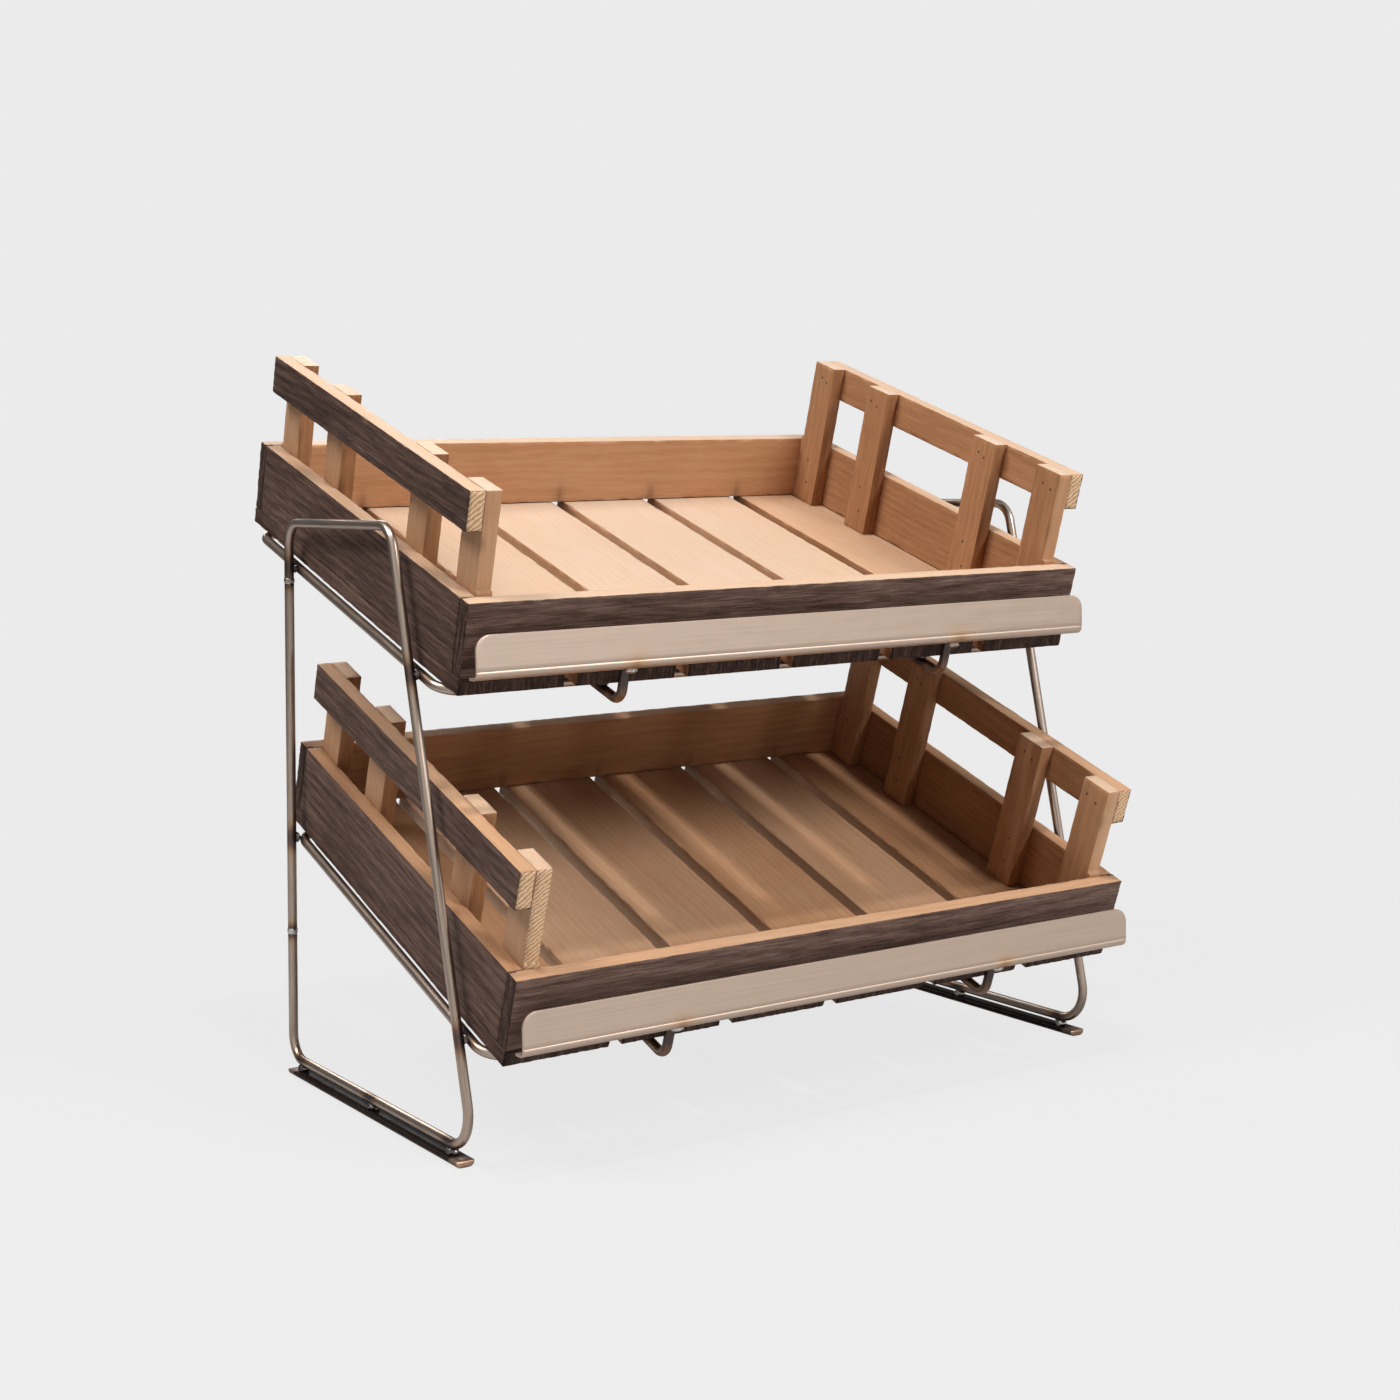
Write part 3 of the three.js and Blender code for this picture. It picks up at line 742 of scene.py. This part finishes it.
class Steelwork:
    """Collects swept rods and weld beads in one mesh, with their heat and their drawing lines."""

    def __init__(self, hot_spots):
        self.bm = bmesh.new()
        self.heat = self.bm.verts.layers.float.new("weld_heat")
        self.drawn = self.bm.verts.layers.float_vector.new("drawn")
        self.hot_spots = hot_spots

    def mark(self, vert, along, around):
        vert[self.heat] = max([0.0] + [math.exp(-((vert.co - place).length / size) ** 2)
                                       for place, size in self.hot_spots])
        vert[self.drawn] = (along, *around)

    def draw_out(self, section, stops):
        """Draws a section out from stop to stop. Each stop has its middle, its two axes, the size
        of the section there and the length drawn so far."""
        rings = []
        for middle, (a, b), scale, along in stops:
            if rings:
                rim = [self.bm.edges.get((ring[k - 1], ring[k])) for k in range(len(ring))]
                drawn_out = bmesh.ops.extrude_edge_only(self.bm, edges=rim)["geom"]
                fresh = {part for part in drawn_out if isinstance(part, bmesh.types.BMVert)}
                ring = [next(edge.other_vert(vert) for edge in vert.link_edges
                             if edge.other_vert(vert) in fresh) for vert in ring]
            else:
                ring = [self.bm.verts.new() for _ in section]
                self.bm.faces.new(ring)
            for vert, (u, v) in zip(ring, section):
                vert.co = middle + (a * u + b * v) * scale
                self.mark(vert, along, (u, v))
            rings.append(ring)
        self.bm.faces.new(ring)
        return rings

    def sweep(self, points, section, cap=0.0004):
        """Carries a section, given as points round the centre line, along the line. At both ends
        it narrows over the length of the cap."""
        tangents, axes = sections_along(points)
        travelled = [0.0]
        for start, end in zip(points, points[1:]):
            travelled.append(travelled[-1] + (end - start).length)
        line = [points[0] + tangents[0] * cap, *points[1:-1], points[-1] - tangents[-1] * cap]
        self.draw_out(section, [(points[0], axes[0], end_narrowing, 0.0),
                                *zip(line, axes, [1.0] * len(line), travelled),
                                (points[-1], axes[-1], end_narrowing, travelled[-1])])

    def rod(self, corners, radii=()):
        self.sweep(rounded(corners, radii), circle(20))

    def bead(self, centre, half_sizes, lengthwise=(1, 0, 0), number=0):
        """A lumpy weld bead with the small ripples that a torch leaves."""
        turn = Vector((1, 0, 0)).rotation_difference(Vector(lengthwise)).to_matrix().to_4x4()
        place = Matrix.Translation(Vector(centre)) @ turn @ Matrix.Diagonal((*half_sizes, 1.0))
        made = bmesh.ops.create_icosphere(self.bm, subdivisions=4, radius=1.0)
        for vert in made["verts"]:
            p = vert.co.copy()
            uneven = 2.0 * noise.noise(p * 2.0 + Vector((number, 0, 0)))
            ripples = 0.07 * math.sin(p.x * 11.0 + uneven)
            lump = 0.20 * noise.noise(p * 1.7 + Vector((number * 5.1, 3.3, 0)))
            vert.co = place @ (p * (1.0 + ripples + lump))
            self.mark(vert, vert.co.x, (vert.co.y, vert.co.z))

    def seam(self, centre, direction, number=0):
        """A ground butt weld round the rod: a low ring with an uneven crown."""
        centre = Vector(centre)
        direction = Vector(direction).normalized()
        side = direction.orthogonal().normalized()
        other = direction.cross(side)
        section = circle(24)
        rings = self.draw_out(section, [(centre, (side, other), 1.0, place)
                                        for place, lift in seam_profile])
        for ring, (place, lift) in zip(rings, seam_profile):
            for vert, (u, v) in zip(ring, section):
                spoke = (side * u + other * v) / rod_radius
                uneven = 1.0 + 0.5 * noise.noise(spoke * 2.2 + Vector((number * 3.1, place * 900, 0)))
                shift = 0.0004 * noise.noise(spoke * 1.5 + Vector((number, 0, 5)))
                vert.co = centre + direction * (place + shift) + spoke * (rod_radius + lift * uneven)
                self.mark(vert, place, (u, v))

    def finish(self, name, material=rod_steel):
        bmesh.ops.recalc_face_normals(self.bm, faces=self.bm.faces)
        return finish_piece(name, self.bm, material, "stand")


# The end hoops stand upright 6.3 mm outside the shelf loops. Their bottom bar lies on three
# cradles on a flat runner, and the back leg has two butt welds with a straight length between.
hoop_x = half + side_rod_outset + 2 * rod_radius + touch
hoop_front, hoop_level = -0.12916, 0.0103
hoop_height, foot_length = 0.351547, 0.258445
front_rake, back_lean = math.radians(12.75), math.radians(4.7)
front_slope, back_slope = math.tan(front_rake), math.tan(back_lean)
top_bend, front_foot_bend, back_foot_bend = 0.016, 0.022, 0.015
upper_seam, lower_seam = hoop_height - 0.0365, 0.0855
front_crossings = (0.0635, hoop_height - 0.0845)
crossing_glow, seam_glow, cradle_glow, weld_glow = 0.0095, 0.0060, 0.0100, 0.0100
crossing_bead, cradle_bead = (0.0022, 0.0042, 0.0034), (0.0043, 0.0036, 0.0033)
cradle_top, bead_level = -0.004, -0.0048


def in_hoop(side, y, z, x=hoop_x):
    return Vector((side * x, hoop_front + y, hoop_level + z))


def on_back_leg(side, z, x=hoop_x):
    return in_hoop(side, foot_length - z * back_slope, z, x)


def back_crossing(tier):
    """Height on the back leg at which a loop's side rod passes it."""
    start = on_shelf(tier, 0, 0, loop_level)
    slope = on_shelf(tier, 0, 1, loop_level) - start
    rise = slope.z / slope.y
    level = (hoop_front + foot_length - start.y) * rise + start.z - hoop_level
    return level / (1 + back_slope * rise)


def side_welds(side):
    """The four welds between a hoop and the side rods of the loops."""
    between = half + side_rod_outset + rod_radius + touch / 2
    return ([in_hoop(side, z * front_slope, z, between) for z in front_crossings]
            + [on_back_leg(side, back_crossing(tier), between) for tier in ("lower", "upper")])


cradle_first = front_foot_bend * math.tan((math.pi / 2 + front_rake) / 2)
cradle_last = foot_length - back_foot_bend * math.tan((math.pi / 2 + back_lean) / 2)
cradles = (cradle_first, (cradle_first + cradle_last) / 2, cradle_last)


def end_hoop(name, side, hot):
    top_front = hoop_height * front_slope
    top_back = foot_length - hoop_height * back_slope
    hoop = Steelwork(hot)
    hoop.rod([on_back_leg(side, upper_seam), in_hoop(side, top_back, hoop_height),
              in_hoop(side, top_front, hoop_height), in_hoop(side, 0, 0),
              in_hoop(side, foot_length, 0), on_back_leg(side, lower_seam)],
             (top_bend, top_bend, front_foot_bend, back_foot_bend))
    hoop.finish(f"{name}_end_hoop")


def back_upright(name, side, hot):
    upright = Steelwork(hot)
    upright.rod([on_back_leg(side, lower_seam + touch), on_back_leg(side, upper_seam - touch)])
    upright.finish(f"{name}_back_upright")


# the runner is a flat bar, 12 mm wide and 3.8 mm thick, its lower edges rounded: dull black scale
# on top, bare along the lower edges and at the cut ends
runner_half, runner_thickness, runner_edge = 0.006, 0.0038, 0.003
quarter = [math.radians(turn) for turn in range(0, 91, 15)]
left_half = [(-runner_half + 0.0003, runner_thickness), (-runner_half, runner_thickness - 0.0004)]
left_half += [(-runner_half + runner_edge * (1 - math.cos(turn)), runner_edge * (1 - math.sin(turn)))
              for turn in quarter]
runner_section = left_half + [(-u, v) for u, v in reversed(left_half)]


def bareness(from_end, height):
    """How far the scale of a runner is gone, from the distance to its end and the height."""
    if from_end < 0.0002:
        return 0.9
    return 0.5 if from_end < 0.007 or height < 0.002 else 0.0


def foot_runner(name, side, hot):
    runner = Steelwork(hot)
    low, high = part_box(f"{name}_foot_runner")
    line = rounded([(side * hoop_x, high.y, 0.0), (side * hoop_x, low.y, 0.0)])
    runner.sweep(line, runner_section, cap=0.0005)
    for vert in runner.bm.verts:
        vert[runner.heat] = bareness(min(vert.co.y - low.y, high.y - vert.co.y), vert.co.z)
    runner.finish(f"{name}_foot_runner", runner_steel)


def end_welds(name, side, seams, hot):
    welds = Steelwork(hot)
    for i, place in enumerate(side_welds(side)):
        welds.bead(place, crossing_bead, number=i + 2 * side)
    for i, place in enumerate(seams):
        welds.seam(place, (0, -back_slope, 1), number=i + 4 + side)
    for i, y in enumerate(cradles):
        welds.bead(in_hoop(side, y, bead_level), cradle_bead, (0, 1, 0), number=i + 9 + side)
    welds.finish(f"{name}_end_welds", weld_steel)


for name, side in (("left", -1), ("right", 1)):
    seams = [on_back_leg(side, z) for z in (lower_seam, upper_seam)]
    feet = [in_hoop(side, y, cradle_top) for y in cradles]
    hot = [(p, crossing_glow) for p in side_welds(side)] + [(p, seam_glow) for p in seams]
    hot += [(p, cradle_glow) for p in feet]
    end_hoop(name, side, hot)
    back_upright(name, side, hot)
    foot_runner(name, side, hot)

    # the welds are dark with scale, apart from those under the right hoop, which were brushed
    dark = side_welds(side) + (feet if side < 0 else [])
    end_welds(name, side, seams, [(p, weld_glow) for p in dark])


# The shelf loops carry the crates, and two hook rods under each turn up in front to hold the
# ticket strip. Their crossings are tacked with small beads.
hook_level = loop_level - 2 * rod_radius - touch
contact_level = (loop_level + hook_level) / 2
hook_x, hook_tail, hook_bend = 0.1205, 0.005, 0.008
arm_standoff, arm_height = 0.006, 0.015
arm_tip = arm_height - 0.002
loop_half = half + side_rod_outset
loop_back = crate_depth - loop_back_inset
loop_front_bend, loop_back_bend = 0.014, 0.012
tack_glow, arm_glow, loop_seam_glow = 0.008, 0.020, 0.009
tack_bead, arm_bead = (0.0030, 0.0028, 0.0014), (0.0042, 0.0024, 0.0022)


def arm_tips(tier):
    return [on_shelf(tier, x, -arm_standoff, arm_tip) for x in (-hook_x, hook_x)]


def shelf_loop(tier, hot):
    """A rectangle bent from one rod, its two ends welded in the middle of its back."""
    around = [(touch / 2, loop_back), (loop_half, loop_back), (loop_half, loop_front_inset),
              (-loop_half, loop_front_inset), (-loop_half, loop_back), (-touch / 2, loop_back)]
    loop = Steelwork(hot)
    loop.rod([on_shelf(tier, x, y, loop_level) for x, y in around],
             (loop_back_bend, loop_front_bend, loop_front_bend, loop_back_bend))
    loop.finish(f"{tier}_shelf_loop")


def hook_rod(tier, name, x, hot):
    hook = Steelwork(hot)
    hook.rod([on_shelf(tier, x, loop_back + hook_tail, hook_level),
              on_shelf(tier, x, -arm_standoff, hook_level),
              on_shelf(tier, x, -arm_standoff, arm_height)], (hook_bend,))
    hook.finish(f"{tier}_{name}_hook_rod")


def shelf_welds(tier, tacks, seam):
    strip_low, strip_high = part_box(f"{tier}_ticket_strip")
    welds = Steelwork([(p, tack_glow) for p in tacks])
    for i, place in enumerate(tacks):
        welds.bead(place, tack_bead, number=i + 20)
    for i, tip in enumerate(arm_tips(tier)):
        place = (tip.x + 0.0012, strip_high.y - 0.0006, strip_low.z - 0.0012)
        welds.bead(place, arm_bead, number=i + 31)
    welds.seam(seam, (1, 0, 0), number=40)
    welds.finish(f"{tier}_shelf_welds", weld_steel)


for tier in ("upper", "lower"):
    tacks = [on_shelf(tier, x, y, contact_level)
             for x in (-hook_x, hook_x) for y in (loop_front_inset, loop_back)]
    seam = on_shelf(tier, 0, loop_back, loop_level)
    hot = [(p, tack_glow) for p in tacks] + [(p, arm_glow) for p in arm_tips(tier)]
    hot += [(p, crossing_glow) for side in (-1, 1) for p in side_welds(side)]
    hot.append((seam, loop_seam_glow))
    shelf_loop(tier, hot)
    hook_rod(tier, "left", -hook_x, hot)
    hook_rod(tier, "right", hook_x, hot)
    shelf_welds(tier, tacks, seam)

# Ticket strips: 1.5 mm satin sheet, 448 by 25.5 mm, upper corners rounded to 9 mm, folded at the
# bottom into a narrow flange. The welds behind have left a brown bloom on the face, and a fine
# groove runs just above the fold.
bloom_tints = ((0.0, (1.0, 1.0, 1.0)), (0.4, (1.0, 0.95, 0.87)), (0.75, (0.95, 0.82, 0.68)),
               (1.0, (0.80, 0.62, 0.47)))
strip_steel = steel("satin_strip_steel", ((0.506, 0.391, 0.313), (0.589, 0.460, 0.373)), 0.52,
                    (9.0, 900.0, 900.0), bloom_tints)
sheet, sheet_fold, strip_corner = 0.0015, 0.0045, 0.009
fold_length = sheet_fold * math.pi / 2
groove_middle, groove_half, groove_depth = 0.0005, 0.0004, 0.0003
bloom_level, bloom_size = 0.001, 0.008
columns = 150


def strip_rows(face, flange):
    """Rows of the flat sheet, counted down from its upper edge."""
    groove = face - groove_middle
    rows = [strip_corner * (1 - math.cos(math.radians(turn))) for turn in range(0, 91, 9)]
    rows += [strip_corner + (groove - groove_half - strip_corner) * i / 5 for i in range(1, 6)]
    rows += [groove, groove + groove_half]
    rows += [face + fold_length * i / 8 for i in range(1, 9)]
    return rows + [face + fold_length + flange * i / 2 for i in (1, 2)]


def folded(down, face, low, high):
    """Where a row of the flat sheet comes to lie, in Y and Z."""
    if down <= face:
        in_groove = abs(face - down - groove_middle) < groove_half / 2
        return low.y + (groove_depth if in_groove else 0.0), high.z - down
    if down <= face + fold_length:
        turn = (down - face) / sheet_fold
        return low.y + sheet_fold * (1 - math.cos(turn)), low.z + sheet_fold * (1 - math.sin(turn))
    return low.y + sheet_fold + (down - face - fold_length), low.z


def ticket_strip(tier):
    low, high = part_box(f"{tier}_ticket_strip")
    strip = Steelwork([(Vector((tip.x, low.y, low.z + bloom_level)), bloom_size)
                       for tip in arm_tips(tier)])
    half_length = (high.x - low.x) / 2
    face = high.z - low.z - sheet_fold
    rows = strip_rows(face, high.y - low.y - sheet_fold)
    last = len(rows) - 1
    bmesh.ops.create_grid(strip.bm, x_segments=columns, y_segments=last, size=1.0)
    for vert in strip.bm.verts:
        down = rows[round((1.0 - vert.co.y) / 2 * last)]
        corner = max(0.0, strip_corner - down)
        reach = half_length - strip_corner + math.sqrt(strip_corner ** 2 - corner ** 2)
        vert.co = (reach * vert.co.x, *folded(down, face, low, high))
        strip.mark(vert, vert.co.x, (down, 0.0))
    return finish_piece(f"{tier}_ticket_strip", strip.bm, strip_steel, "stand")


for tier in ("upper", "lower"):
    made = ticket_strip(tier)
    thicken = made.modifiers.new("sheet", "SOLIDIFY")
    thicken.thickness = sheet
    thicken.offset = -1.0
    soften = made.modifiers.new("edges", "BEVEL")
    soften.width = 0.00028
    soften.segments = 2
    soften.limit_method = "ANGLE"
    soften.angle_limit = math.radians(60)
